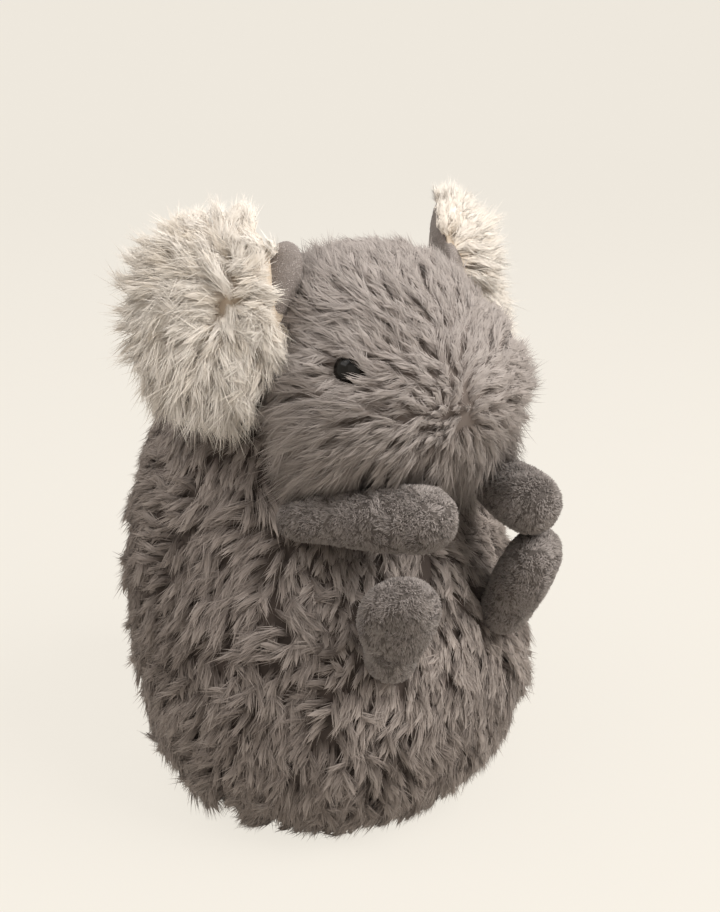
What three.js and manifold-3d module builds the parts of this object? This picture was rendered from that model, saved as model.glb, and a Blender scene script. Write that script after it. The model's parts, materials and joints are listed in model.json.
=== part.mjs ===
// A seated plush chinchilla: covers of pile fabric over stuffing, a head that turns on its neck seam,
// and ears, arms, feet and a tail that bend at their sewn roots.
// Millimetres, +Z up. The toy faces -Y, its right side is at -X and the origin is the middle of its seat.

import * as THREE from 'three';
import { mergeVertices } from 'three/addons/utils/BufferGeometryUtils.js';
import Module from 'manifold-3d';

const wasm = await Module();
wasm.setup();

// Fabric and fits
const PLUSH = 4;                 // long-pile fabric with its pressed pile roots
const VELBOA = 1.5;              // short-pile fabric
const SEAM_GAP = 0.3;            // between two panels that meet at a seam
const FILL_GAP = 0.3;            // between a cover and what it holds
const ROOT_GAP = 0.3;            // between a sewn root and the dimple it sits in
const NECK_GAP = 0.6;            // between the turning head and the neck hollow
const ROOT_OPENING = 1.8;        // radius of the filling hole in each limb's root

// Body
const BODY_HALF_WIDTH = 53.5;
const BODY_HALF_DEPTH = 50;
const BODY_WIDEST = 42;          // height of the widest girth above the seat
const BODY_TOP = 130;            // height of the nape
const SEAT_DROP = 50;            // how far the lower egg would reach below the widest girth
const SEAT_POWER = 2.4;          // ratio of roundness: 2 is a plain ellipse, more is fuller
const BACK_POWER = 2.15;         // the same ratio above the widest girth
const BODY_LEAN = 12.5;          // how far the nape lies behind the seat's middle
const LEAN_FROM = 25;            // heights between which the lean comes in
const LEAN_TO = 100;
const CHEST_HOLLOW = 0.15;       // share of the depth that the chest loses
const CHEST_FROM = 40;           // heights between which the chest grows shallow
const CHEST_TO = 100;
const BELLY_HALF_WIDTH = 29;     // from the middle to the belly's side seams
const PELLET_TOP = 24;           // height of the pellet bag's top

// Tufts of fur on the back, in rows that are staggered
const TUFT_HEIGHT = 3.5;         // from a parting to the crest of a tuft
const TUFT_COLUMNS = 30;         // tufts in a whole row round the body
const TUFT_ROWS = 16;            // rows from below the seat to the nape
const TUFT_FROM = 55;            // degrees from straight ahead between which the tufts come in
const TUFT_TO = 75;
const TUFT_LOW = 4;              // heights between which the tufts come in above the seat
const TUFT_FULL = 14;
const TUFT_FADE = 90;            // heights between which they fade below the nape
const TUFT_END = 108;
const TUFT_CLEAR = 11;           // radius round the middle of the tail's root without tufts

// Head
const HEAD_RADIUS = 29;          // across, about the upright neck axis
const HEAD_HALF_HEIGHT = 26.5;
const HEAD_FORWARD = 17;         // neck axis in front of the seat's middle
const HEAD_HEIGHT = 122;         // middle of the head above the seat
const GUSSET_HALF_WIDTH = 10;
const CHIN_DROP = 9;             // chin seam below the middle of the head
const NECK_HOLE_RADIUS = 13;     // opening in the head cover towards the body
const NECK_TILT = -45;           // degrees, the opening's direction above level at the back
const MUZZLE_SWELL = 5;
const MUZZLE_DROP = 16;          // degrees below level
const MUZZLE_SPREAD = 45;        // degrees from its middle to its edge
const CHEEK_SWELL = 5.5;
const CHEEK_TURN = 50;           // degrees from straight ahead
const CHEEK_DROP = 16;           // degrees below level
const CHEEK_SPREAD = 46;         // degrees from its middle to its edge

// Eyes
const EYE_RADIUS = 3.8;
const EYE_DOME = 3;              // height of the dome above its rim
const EYE_SEAT = 0.8;            // depth of the rim in the fabric
const EYE_TURN = 52;             // degrees from straight ahead
const EYE_LIFT = 8;              // degrees above level
const SHANK_RADIUS = 1.6;
const SHANK_REACH = 3.8;         // shank past the inner face of the fabric
const WASHER_RADIUS = 5;
const WASHER_THICKNESS = 1.2;
const WASHER_DEPTH = 0.3;        // washer below the inner face of the fabric

// Ears
const EAR_HALF_WIDTH = 17;
const EAR_HALF_HEIGHT = 19;
const EAR_FRONT = 7;             // cream panel at its thickest
const EAR_BACK = 2.4;            // grey panel at its thickest
const EAR_DISH = 2.5;            // how deep the ear is cupped
const EAR_RISE = 8;              // middle of the ear above the middle of its root
const EAR_TURN = 92;             // degrees from straight ahead to the root
const EAR_LIFT = 10;             // degrees above level
const EAR_LEAN = 13;             // degrees that the top leans in over the head
const EAR_OUTSET = 0.8;          // middle of the root outside the head
const EAR_SPLAY = 40;            // degrees between the ear and straight back
const EAR_ROOT_RADIUS = 2.2;     // rolled seam that the ear bends on
const EAR_ROOT_LENGTH = 14;
const EAR_OVERLAP = 1.2;         // ear panel's reach into the rolled seam

// Arms
const ARM_DROP = 36;             // roots below the middle of the head
const ARM_PLACE = 36;            // degrees from straight ahead, round the body
const ARM_OUTSET = 4;            // middle of the root outside the body
const ARM_ROOT_RADIUS = 5;
const ARM_PAD_RADIUS = 7.6;
const ARM_REACH = 31.5;          // from the middle of the root to the middle of the pad
const ARM_LIFT_RIGHT = 8;        // degrees above level
const ARM_LIFT_LEFT = 2;         // degrees above level
const ARM_TURN_RIGHT = 30;       // degrees inwards from straight ahead
const ARM_TURN_LEFT = 20;        // degrees inwards from straight ahead

// Feet
const FOOT_DROP = 31;            // roots below the arms' roots
const FOOT_PLACE = 20;           // degrees from straight ahead, round the body
const FOOT_OUTSET = 5;
const FOOT_ROOT_RADIUS = 6.2;
const FOOT_HALF_WIDTH = 9.6;
const FOOT_HALF_THICKNESS = 6.6;
const FOOT_REACH = 15.5;         // from the middle of the root to the middle of the pad
const FOOT_TILT = 24;            // degrees forward from upright
const FOOT_SPLAY = 25;           // degrees outwards
const SOLE_DEPTH = 2.3;          // sole seam below the face of the sole

// Tail
const TAIL_HEIGHT = 26;
const TAIL_OUTSET = 4;
const TAIL_ROOT_RADIUS = 5;
const TAIL_PAD_RADIUS = 8;
const TAIL_REACH = 24;
const TAIL_TILT = 50;            // degrees backward from upright

// Number of facets
const BODY_FACETS = [2 * TUFT_COLUMNS, 2 * TUFT_ROWS];
const BODY_CORE_FACETS = [24, 12];
const HEAD_FACETS = [28, 18];
const HEAD_CORE_FACETS = [20, 12];
const EAR_FACETS = [20, 8];
const LIMB_FACETS = [16, 12];
const CORE_FACETS = [12, 8];
const EYE_FACETS = 16;
const ROOM = 400;                // half spaces reach this far

const UP = new THREE.Vector3(0, 0, 1);
const { degToRad, lerp, smoothstep } = THREE.MathUtils;
const HEAD_CENTRE = new THREE.Vector3(0, -HEAD_FORWARD, HEAD_HEIGHT);
const ARM_HEIGHT = HEAD_HEIGHT - ARM_DROP;
const FOOT_HEIGHT = ARM_HEIGHT - FOOT_DROP;
const SIDES = [['right', 1], ['left', -1]];

// Materials
function finish(color, roughness) {
  return new THREE.MeshStandardMaterial({ color, roughness, metalness: 0 });
}
const greyPlush = () => finish(0x8c837c, 0.95);
const creamPlush = () => finish(0xd8cdbd, 0.95);
const greyVelboa = () => finish(0x756e69, 0.9);
const fibre = () => finish(0xf1eee8, 1);
const pelletCloth = () => finish(0xd9d4ca, 0.9);
const blackPlastic = () => finish(0x0a0909, 0.12);
const whitePlastic = () => finish(0xe6e3dc, 0.5);

// A closed three.js geometry as a solid, without the slivers that a lathe leaves on its axis.
function solid(geometry) {
  const bare = geometry.clone();
  bare.deleteAttribute('normal');
  bare.deleteAttribute('uv');
  const merged = mergeVertices(bare, 1e-4);
  const corners = merged.index.array;
  const kept = [];
  for (let i = 0; i < corners.length; i += 3) {
    const [a, b, c] = [corners[i], corners[i + 1], corners[i + 2]];
    if (a !== b && b !== c && c !== a) {
      kept.push(a, b, c);
    }
  }
  const vertProperties = Float32Array.from(merged.attributes.position.array);
  return new wasm.Manifold(new wasm.Mesh({ numProp: 3, vertProperties, triVerts: Uint32Array.from(kept) }));
}

// A named mesh from a solid.
function piece(name, shape, material) {
  const made = shape.getMesh();
  const geometry = new THREE.BufferGeometry();
  geometry.setAttribute('position', new THREE.BufferAttribute(made.vertProperties, 3));
  geometry.setIndex(new THREE.BufferAttribute(made.triVerts, 1));
  geometry.computeVertexNormals();
  const mesh = new THREE.Mesh(geometry, material);
  mesh.name = name;
  return mesh;
}

// A unit sphere with its poles up and down, each point moved by a rule.
function formedSphere([around, rows], rule) {
  const geometry = new THREE.SphereGeometry(1, around, rows).rotateX(Math.PI / 2);
  const places = geometry.attributes.position;
  const point = new THREE.Vector3();
  for (let i = 0; i < places.count; i += 1) {
    point.fromBufferAttribute(places, i);
    const moved = rule(point);
    places.setXYZ(i, moved.x, moved.y, moved.z);
  }
  return geometry;
}

// A profile of (radius, height) points spun about the upright axis.
function spun(points, facets) {
  return new THREE.LatheGeometry(points, facets).rotateX(Math.PI / 2);
}

function block(xRange, yRange, zRange) {
  const middle = (range) => (range[0] + range[1]) / 2;
  const span = (range) => range[1] - range[0];
  const box = new THREE.BoxGeometry(span(xRange), span(yRange), span(zRange));
  return solid(box.translate(middle(xRange), middle(yRange), middle(zRange)));
}

function ball(centre, radius) {
  return solid(new THREE.SphereGeometry(radius, ...LIMB_FACETS).translate(centre.x, centre.y, centre.z));
}

// A solid made in a holder's own frame, moved to where the holder stands.
function standing(geometry, holder) {
  holder.updateMatrix();
  return solid(geometry.clone().applyMatrix4(holder.matrix));
}

// A direction from straight ahead, turned to a side and raised.
function heading(turn, lift, side) {
  const level = Math.cos(degToRad(lift));
  const across = -side * level * Math.sin(degToRad(turn));
  return new THREE.Vector3(across, -level * Math.cos(degToRad(turn)), Math.sin(degToRad(lift)));
}

// The body's surface: level runs from -1 below the seat to 1 at the nape, turn goes round from the front.
function bodyPoint(level, turn, inset) {
  const power = level < 0 ? SEAT_POWER : BACK_POWER;
  const girth = Math.max(0, 1 - Math.abs(level) ** power) ** (1 / power);
  const reach = level < 0 ? SEAT_DROP : BODY_TOP - BODY_WIDEST;
  const height = BODY_WIDEST + level * (reach - inset);
  const depth = BODY_HALF_DEPTH * (1 - CHEST_HOLLOW * smoothstep(height, CHEST_FROM, CHEST_TO));
  const lean = BODY_LEAN * smoothstep(height, LEAN_FROM, LEAN_TO);
  const x = -Math.sin(turn) * girth * (BODY_HALF_WIDTH - inset);
  const y = -Math.cos(turn) * girth * (depth - inset);
  return new THREE.Vector3(x, y + lean, height);
}

function bodyForm(inset, facets) {
  return solid(formedSphere(facets, (at) => bodyPoint(at.z, Math.atan2(-at.x, -at.y), inset)));
}

// The body with its tufts: each second corner of its facets is a crest, and those between are partings.
function tuftRelief(level, turn) {
  const place = bodyPoint(level, turn, 0);
  const behind = smoothstep(Math.abs(turn), degToRad(TUFT_FROM), degToRad(TUFT_TO));
  const between = smoothstep(place.z, TUFT_LOW, TUFT_FULL) * (1 - smoothstep(place.z, TUFT_FADE, TUFT_END));
  const clear = smoothstep(place.distanceTo(tail.position), TUFT_CLEAR, 2 * TUFT_CLEAR);
  const crest = Math.cos(TUFT_COLUMNS * turn) * Math.cos(2 * TUFT_ROWS * Math.acos(level));
  return TUFT_HEIGHT / 2 * crest * behind * between * clear;
}

function tuftedBody() {
  return solid(formedSphere(BODY_FACETS, (at) => {
    const turn = Math.atan2(-at.x, -at.y);
    return bodyPoint(at.z, turn, -tuftRelief(at.z, turn));
  }));
}

// The middle of a root that sits on the body at a height, stood off along the surface's normal.
function rootOnBody(height, place, side, outset) {
  const reach = height < BODY_WIDEST ? SEAT_DROP : BODY_TOP - BODY_WIDEST;
  const level = (height - BODY_WIDEST) / reach;
  const turn = side * degToRad(place);
  const step = 0.01;
  const along = bodyPoint(level, turn + step, 0).sub(bodyPoint(level, turn - step, 0));
  const above = bodyPoint(level + step, turn, 0).sub(bodyPoint(level - step, turn, 0));
  return bodyPoint(level, turn, 0).addScaledVector(above.cross(along).normalize(), outset);
}

// The head's surface along a direction from its middle.
function swell(direction, turn, lift, side, spread, height) {
  const angle = direction.angleTo(heading(turn, lift, side)) / degToRad(spread);
  return angle < 1 ? height * (1 - angle * angle) ** 2 : 0;
}

function headPoint(direction, inset) {
  const level = Math.hypot(direction.x, direction.y) / (HEAD_RADIUS - inset);
  const rise = direction.z / (HEAD_HALF_HEIGHT - inset);
  let reach = 1 / Math.hypot(level, rise);
  reach += swell(direction, 0, -MUZZLE_DROP, 1, MUZZLE_SPREAD, MUZZLE_SWELL);
  for (const [, side] of SIDES) {
    reach += swell(direction, CHEEK_TURN, -CHEEK_DROP, side, CHEEK_SPREAD, CHEEK_SWELL);
  }
  return direction.clone().multiplyScalar(reach);
}

function headForm(inset, facets) {
  return solid(formedSphere(facets, (at) => headPoint(at.clone().normalize(), inset)));
}

// A holder on the head whose upright axis is the surface's normal.
function holderOnHead(direction) {
  const holder = new THREE.Group();
  const flatness = (HEAD_RADIUS / HEAD_HALF_HEIGHT) ** 2;
  const normal = new THREE.Vector3(direction.x, direction.y, direction.z * flatness).normalize();
  holder.position.copy(headPoint(direction, 0));
  holder.quaternion.setFromUnitVectors(UP, normal);
  return holder;
}

// A stuffed limb's profile: a round root, a swelling length and a round pad.
function limbProfile(rootRadius, padRadius, reach, inset, rows) {
  const path = new THREE.Path();
  const root = rootRadius - inset;
  const pad = padRadius - inset;
  path.absarc(0, 0, root, -Math.PI / 2, 0);
  path.bezierCurveTo(root, reach * 0.4, pad, reach * 0.5, pad, reach);
  path.absarc(0, reach, pad, 0, Math.PI / 2);
  const points = path.getSpacedPoints(rows);
  points[0].x = 0;
  points[points.length - 1].x = 0;
  return points;
}

// A limb's cover, open at the root, and the filling inside it. The shape rule moves each point.
function stuffedLimb(rootRadius, padRadius, reach, fabric, shape) {
  const form = (inset, [around, rows]) => {
    const geometry = spun(limbProfile(rootRadius, padRadius, reach, inset, rows), around);
    return solid(shape(geometry));
  };
  const opening = new THREE.CylinderGeometry(ROOT_OPENING, ROOT_OPENING, rootRadius * 2, CORE_FACETS[0]);
  const hole = solid(opening.rotateX(Math.PI / 2).translate(0, 0, -rootRadius));
  return {
    cover: form(0, LIMB_FACETS).subtract(form(fabric, CORE_FACETS)).subtract(hole),
    filling: form(fabric + FILL_GAP, CORE_FACETS),
  };
}

const unshaped = (geometry) => geometry;

const toy = new THREE.Group();

// Arms, held forward under the cheeks
const roots = [];
const armTurns = { right: ARM_TURN_RIGHT, left: ARM_TURN_LEFT };
const armLifts = { right: ARM_LIFT_RIGHT, left: ARM_LIFT_LEFT };
for (const [name, side] of SIDES) {
  const arm = new THREE.Group();
  arm.name = `arm_${name}`;
  arm.position.copy(rootOnBody(ARM_HEIGHT, ARM_PLACE, side, ARM_OUTSET));
  arm.rotation.set(degToRad(90 - armLifts[name]), 0, side * degToRad(armTurns[name]), 'ZXY');
  const { cover, filling } = stuffedLimb(ARM_ROOT_RADIUS, ARM_PAD_RADIUS, ARM_REACH, VELBOA, unshaped);
  arm.add(piece(`arm_cover_${name}`, cover, greyVelboa()));
  arm.add(piece(`arm_filling_${name}`, filling, fibre()));
  toy.add(arm);
  roots.push(ball(arm.position, ARM_ROOT_RADIUS + ROOT_GAP));
}

// Feet, flatter than they are wide, with the sole in front and the toes up
const flatFoot = (geometry) => {
  const places = geometry.attributes.position;
  const flatness = FOOT_HALF_THICKNESS / FOOT_HALF_WIDTH;
  for (let i = 0; i < places.count; i += 1) {
    const share = smoothstep(places.getZ(i), 0, FOOT_REACH);
    places.setY(i, places.getY(i) * lerp(1, flatness, share));
  }
  return geometry;
};
const soleSeam = SOLE_DEPTH - FOOT_HALF_THICKNESS;
const ahead = (seam, heel) => block([-ROOM, ROOM], [-ROOM, seam], [heel, ROOM]);
const inFront = ahead(soleSeam - SEAM_GAP / 2, FOOT_ROOT_RADIUS);
const seamAndFront = ahead(soleSeam + SEAM_GAP / 2, FOOT_ROOT_RADIUS - SEAM_GAP);
for (const [name, side] of SIDES) {
  const foot = new THREE.Group();
  foot.name = `foot_${name}`;
  foot.position.copy(rootOnBody(FOOT_HEIGHT, FOOT_PLACE, side, FOOT_OUTSET));
  foot.rotation.set(degToRad(FOOT_TILT), 0, -side * degToRad(FOOT_SPLAY), 'ZXY');
  const { cover, filling } = stuffedLimb(FOOT_ROOT_RADIUS, FOOT_HALF_WIDTH, FOOT_REACH, VELBOA, flatFoot);
  foot.add(piece(`foot_cover_${name}`, cover.subtract(seamAndFront), greyVelboa()));
  foot.add(piece(`foot_sole_${name}`, cover.intersect(inFront), greyVelboa()));
  foot.add(piece(`foot_filling_${name}`, filling, fibre()));
  toy.add(foot);
  roots.push(ball(foot.position, FOOT_ROOT_RADIUS + ROOT_GAP));
}

// Tail, low on the back and pointing up behind
const tail = new THREE.Group();
tail.name = 'tail';
tail.position.copy(rootOnBody(TAIL_HEIGHT, 180, 1, TAIL_OUTSET));
tail.rotation.x = -degToRad(TAIL_TILT);
const brush = stuffedLimb(TAIL_ROOT_RADIUS, TAIL_PAD_RADIUS, TAIL_REACH, VELBOA, unshaped);
tail.add(piece('tail_cover', brush.cover, greyPlush()));
tail.add(piece('tail_filling', brush.filling, fibre()));
toy.add(tail);
roots.push(ball(tail.position, TAIL_ROOT_RADIUS + ROOT_GAP));

// Body panels, cut from one shell with a flat seat, a hollow for the head and a dimple for each root
const neckReach = new THREE.Vector3(HEAD_RADIUS, HEAD_RADIUS, HEAD_HALF_HEIGHT).addScalar(NECK_GAP);
const neckHollow = formedSphere(HEAD_FACETS, (at) => at.clone().multiply(neckReach).add(HEAD_CENTRE));
const hollows = [solid(neckHollow), ...roots].reduce((whole, part) => whole.add(part));
const underSeat = (height) => block([-ROOM, ROOM], [-ROOM, ROOM], [-ROOM, height]);
const bodyOuter = tuftedBody().subtract(underSeat(0));
const bodyInner = bodyForm(PLUSH, BODY_CORE_FACETS).subtract(underSeat(PLUSH));
const bodyShell = bodyOuter.subtract(bodyInner).subtract(hollows);
const upperShell = bodyShell.subtract(underSeat(PLUSH + SEAM_GAP));
const front = (halfWidth) => block([-halfWidth, halfWidth], [-ROOM, 0], [-ROOM, ROOM]);
const sideOf = (side, seam) => {
  const across = side > 0 ? [-ROOM, -seam] : [seam, ROOM];
  return block(across, [-ROOM, ROOM], [-ROOM, ROOM]);
};

const seatSlab = bodyOuter.intersect(underSeat(PLUSH));
toy.add(piece('base_panel', seatSlab, greyPlush()));
const belly = upperShell.intersect(front(BELLY_HALF_WIDTH - SEAM_GAP / 2));
toy.add(piece('belly_panel', belly, greyPlush()));
const backShell = upperShell.subtract(front(BELLY_HALF_WIDTH + SEAM_GAP / 2));
for (const [name, side] of SIDES) {
  toy.add(piece(`back_panel_${name}`, backShell.intersect(sideOf(side, SEAM_GAP / 2)), greyPlush()));
}

// What the body holds: pellets at the bottom, loose fibre above
const bodyCore = bodyForm(PLUSH + FILL_GAP, BODY_CORE_FACETS).subtract(underSeat(PLUSH + FILL_GAP));
const bodyFilling = bodyCore.subtract(underSeat(PELLET_TOP + FILL_GAP)).subtract(hollows);
toy.add(piece('pellet_bag', bodyCore.intersect(underSeat(PELLET_TOP)), pelletCloth()));
toy.add(piece('body_filling', bodyFilling, fibre()));

// Head, in its own frame about the middle of the head
const head = new THREE.Group();
head.name = 'head';
head.position.copy(HEAD_CENTRE);
toy.add(head);

// Eyes: a dome, a shank through the fabric and a lock washer inside
const eyeProfile = () => {
  const path = new THREE.Path();
  const tip = -PLUSH - SHANK_REACH;
  path.moveTo(0, tip);
  path.lineTo(SHANK_RADIUS, tip);
  path.lineTo(SHANK_RADIUS, -EYE_SEAT);
  path.lineTo(EYE_RADIUS, -EYE_SEAT);
  path.absellipse(0, -EYE_SEAT, EYE_RADIUS, EYE_DOME, 0, Math.PI / 2);
  const points = path.getPoints(4);
  points[points.length - 1].x = 0;
  return points;
};
const ring = (inner, outer, low, high) => [
  new THREE.Vector2(inner, low),
  new THREE.Vector2(outer, low),
  new THREE.Vector2(outer, high),
  new THREE.Vector2(inner, high),
  new THREE.Vector2(inner, low),
];
const rod = (radius, low, high) => ring(0, radius, low, high).slice(0, 4);
const washerTop = -PLUSH - WASHER_DEPTH;
const washerPoints = ring(SHANK_RADIUS + SEAM_GAP, WASHER_RADIUS, washerTop - WASHER_THICKNESS, washerTop);
const seatPoints = rod(EYE_RADIUS + SEAM_GAP, -EYE_SEAT - SEAM_GAP, EYE_DOME);
const borePoints = rod(SHANK_RADIUS + SEAM_GAP, -PLUSH * 2, 0);
const facePoints = rod(WASHER_RADIUS + SEAM_GAP, -PLUSH * 3, washerTop + SEAM_GAP);
const pocketPoints = rod(WASHER_RADIUS + FILL_GAP, -PLUSH - SHANK_REACH - FILL_GAP, 0);
const eyeCuts = [];
const pockets = [];
for (const [name, side] of SIDES) {
  const holder = holderOnHead(heading(EYE_TURN, EYE_LIFT, side));
  holder.add(piece(`eye_${name}`, solid(spun(eyeProfile(), EYE_FACETS)), blackPlastic()));
  holder.add(piece(`eye_washer_${name}`, solid(spun(washerPoints, CORE_FACETS[0])), whitePlastic()));
  head.add(holder);
  eyeCuts.push(standing(spun(seatPoints, EYE_FACETS), holder));
  eyeCuts.push(standing(spun(borePoints, CORE_FACETS[0]), holder));
  eyeCuts.push(standing(spun(facePoints, CORE_FACETS[0]), holder));
  pockets.push(standing(spun(pocketPoints, CORE_FACETS[0]), holder));
}

// Ears: a cupped round of two panels that bends on a rolled seam along its inner edge
const rollProfile = (radius) => {
  const path = new THREE.Path();
  const half = EAR_ROOT_LENGTH / 2;
  path.absarc(0, -half, radius, -Math.PI / 2, 0);
  path.absarc(0, half, radius, 0, Math.PI / 2);
  const points = path.getPoints(3);
  points[0].x = 0;
  points[points.length - 1].x = 0;
  return points;
};
const earPanel = (side, face, thickness) => solid(formedSphere(EAR_FACETS, (at) => {
  const bulge = thickness * Math.max(0, -face * at.z);
  const cup = side * EAR_DISH * (at.x * at.x + at.y * at.y - 1);
  const across = EAR_HALF_WIDTH * (1 + at.x) - EAR_OVERLAP;
  return new THREE.Vector3(across, face * (SEAM_GAP / 2 + bulge) + cup, EAR_HALF_HEIGHT * at.y + EAR_RISE);
}));
const roll = solid(spun(rollProfile(EAR_ROOT_RADIUS), CORE_FACETS[0]));
const roomyRoll = spun(rollProfile(EAR_ROOT_RADIUS + ROOT_GAP), CORE_FACETS[0]);
const grooves = [];
for (const [name, side] of SIDES) {
  const ear = new THREE.Group();
  ear.name = `ear_${name}`;
  ear.position.copy(headPoint(heading(EAR_TURN, EAR_LIFT, side), -EAR_OUTSET));
  ear.rotation.set(0, side * degToRad(EAR_LEAN), Math.PI / 2 + side * degToRad(EAR_SPLAY), 'YZX');
  const creamPanel = earPanel(side, side, EAR_FRONT).subtract(solid(roomyRoll));
  const greyPanel = earPanel(side, -side, EAR_BACK).add(roll);
  ear.add(piece(`ear_front_${name}`, creamPanel, creamPlush()));
  ear.add(piece(`ear_back_${name}`, greyPanel, greyVelboa()));
  head.add(ear);
  grooves.push(standing(roomyRoll, ear));
}

// Head panels, cut from one shell with a hole for the neck, seats for the eyes and grooves for the ears
const neck = (radius) => {
  const plug = new THREE.CylinderGeometry(radius, radius, HEAD_RADIUS * 2, BODY_CORE_FACETS[0]);
  return solid(plug.translate(0, HEAD_RADIUS, 0).rotateX(degToRad(NECK_TILT)));
};
const headOuter = headForm(0, HEAD_FACETS);
const headCuts = [neck(NECK_HOLE_RADIUS), ...eyeCuts, ...grooves].reduce((whole, part) => whole.add(part));
const headShell = headOuter.subtract(headForm(PLUSH, HEAD_CORE_FACETS)).subtract(headCuts);
const strip = headShell.intersect(block(
  [SEAM_GAP / 2 - GUSSET_HALF_WIDTH, GUSSET_HALF_WIDTH - SEAM_GAP / 2],
  [-ROOM, ROOM],
  [-ROOM, ROOM],
));
const belowChin = (drop) => block([-ROOM, ROOM], [-ROOM, HEAD_RADIUS / 2], [-ROOM, -drop]);
head.add(piece('head_gusset', strip.subtract(belowChin(CHIN_DROP - SEAM_GAP)), greyPlush()));
head.add(piece('chin_panel', strip.intersect(belowChin(CHIN_DROP)), greyPlush()));
for (const [name, side] of SIDES) {
  const face = headShell.intersect(sideOf(side, GUSSET_HALF_WIDTH + SEAM_GAP / 2));
  head.add(piece(`face_panel_${name}`, face, greyPlush()));
}

// What the head holds: loose fibre that comes out at the neck
const neckPlug = headOuter.intersect(neck(NECK_HOLE_RADIUS - FILL_GAP));
const headCore = headForm(PLUSH + FILL_GAP, HEAD_CORE_FACETS).add(neckPlug);
const headFilling = pockets.reduce((whole, part) => whole.subtract(part), headCore);
head.add(piece('head_filling', headFilling, fibre()));

export default toy;
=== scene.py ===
# %% [markdown]
# # A plush chinchilla
# The toy sits upright and is sewn from three fabrics: long grey fur on the body, head and tail,
# long cream fur inside the ears, and a short crushed pile on the paws, the soles and the backs of
# the ears. The CAD model gives every piece its place. This lesson dresses it: soft forms are taken
# from the CAD solids, and the pile that one sees is grown on them strand by strand.

# %% Load the CAD frame
import json
import math

import bpy
import numpy as np
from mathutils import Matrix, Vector
from numpy.linalg import norm


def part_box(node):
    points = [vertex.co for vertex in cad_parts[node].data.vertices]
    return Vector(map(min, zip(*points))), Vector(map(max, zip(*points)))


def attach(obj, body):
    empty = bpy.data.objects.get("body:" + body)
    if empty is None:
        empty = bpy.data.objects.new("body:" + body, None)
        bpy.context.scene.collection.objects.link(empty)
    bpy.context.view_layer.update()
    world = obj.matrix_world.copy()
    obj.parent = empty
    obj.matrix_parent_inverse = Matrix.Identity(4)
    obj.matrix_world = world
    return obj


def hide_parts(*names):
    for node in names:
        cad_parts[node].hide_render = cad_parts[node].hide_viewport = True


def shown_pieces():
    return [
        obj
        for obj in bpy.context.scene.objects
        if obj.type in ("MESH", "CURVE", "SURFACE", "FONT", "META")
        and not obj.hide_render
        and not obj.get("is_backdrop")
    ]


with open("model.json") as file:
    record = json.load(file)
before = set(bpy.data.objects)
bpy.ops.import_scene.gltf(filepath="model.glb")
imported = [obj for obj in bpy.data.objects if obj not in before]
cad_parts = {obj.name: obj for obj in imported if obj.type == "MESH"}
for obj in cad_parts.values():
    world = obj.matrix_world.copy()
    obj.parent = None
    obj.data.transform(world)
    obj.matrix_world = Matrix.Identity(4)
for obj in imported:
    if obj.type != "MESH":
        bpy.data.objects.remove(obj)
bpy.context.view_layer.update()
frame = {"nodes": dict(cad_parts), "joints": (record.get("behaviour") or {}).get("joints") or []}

MM = 0.001
scene = bpy.context.scene

# %% [markdown]
# ## Camera
# The photograph looks a little down on the toy's right front. The camera stands at that angle and
# distance, so that the near ear, the flat forehead and the long right flank overlap as they do there.

# %% Camera
AZIMUTH, ELEVATION = math.radians(-40), math.radians(19)
LOOK_AT, DISTANCE = Vector((0, -0.0105, 0.094)), 0.313
RIGHTWARD = Vector((math.cos(AZIMUTH), math.sin(AZIMUTH), 0))
TOWARDS = Vector((math.sin(AZIMUTH) * math.cos(ELEVATION),
                  -math.cos(AZIMUTH) * math.cos(ELEVATION),
                  math.sin(ELEVATION)))
UPWARD = TOWARDS.cross(RIGHTWARD)
bpy.ops.object.camera_add(location=LOOK_AT + TOWARDS * DISTANCE)
camera = bpy.context.object
camera.name = "photo_camera"
camera.rotation_euler = TOWARDS.to_track_quat("Z", "Y").to_euler()
camera.data.lens = 47.37
scene.camera = camera
print("camera at", [round(c, 3) for c in camera.location])

# %% [markdown]
# ## Floor and light
# A sheet of pale studio paper lies under the toy and curves up into a wall on every side, so no
# horizon cuts the picture. One large soft lamp stands high on the right, as the bright side of the
# fur asks, a weaker one on the left keeps the shadow side readable, and a faint one on the camera's
# side opens the partings of the fur.

# %% Studio paper
def mode(name):
    """Switches the active object to a mode."""
    bpy.ops.object.mode_set(mode=name)


PAPER_RADIUS, PAPER_INSET, PAPER_RIM = 1.5, 0.6, 1.4
bpy.ops.mesh.primitive_circle_add(vertices=64, radius=PAPER_RADIUS, fill_type="NGON")
paper = bpy.context.object
paper.name = "studio_paper"
mode("EDIT")
bpy.ops.mesh.select_mode(type="FACE")
bpy.ops.mesh.select_all(action="SELECT")
bpy.ops.mesh.inset(thickness=PAPER_INSET)
bpy.ops.mesh.select_mode(type="EDGE")
bpy.ops.mesh.select_all(action="DESELECT")
mode("OBJECT")
for edge in paper.data.edges:
    ends = [paper.data.vertices[i].co for i in edge.vertices]
    edge.select = min(c.xy.length for c in ends) > PAPER_RIM
mode("EDIT")
for rise, grow_by in ((0.08, 1.12), (0.25, 1.1), (0.5, 1.05), (0.9, 1.0)):
    bpy.ops.mesh.extrude_region_move(TRANSFORM_OT_translate={"value": (0, 0, rise)})
    bpy.ops.transform.resize(value=(grow_by, grow_by, 1))
bpy.ops.mesh.select_all(action="SELECT")
bpy.ops.mesh.normals_make_consistent(inside=True)
mode("OBJECT")
smooth_paper = paper.modifiers.new("round", "SUBSURF")
smooth_paper.levels = smooth_paper.render_levels = 2
bpy.ops.object.modifier_apply(modifier="round")
bpy.ops.object.shade_smooth()
paper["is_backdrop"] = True
print("studio paper", len(paper.data.polygons), "faces")


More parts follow.
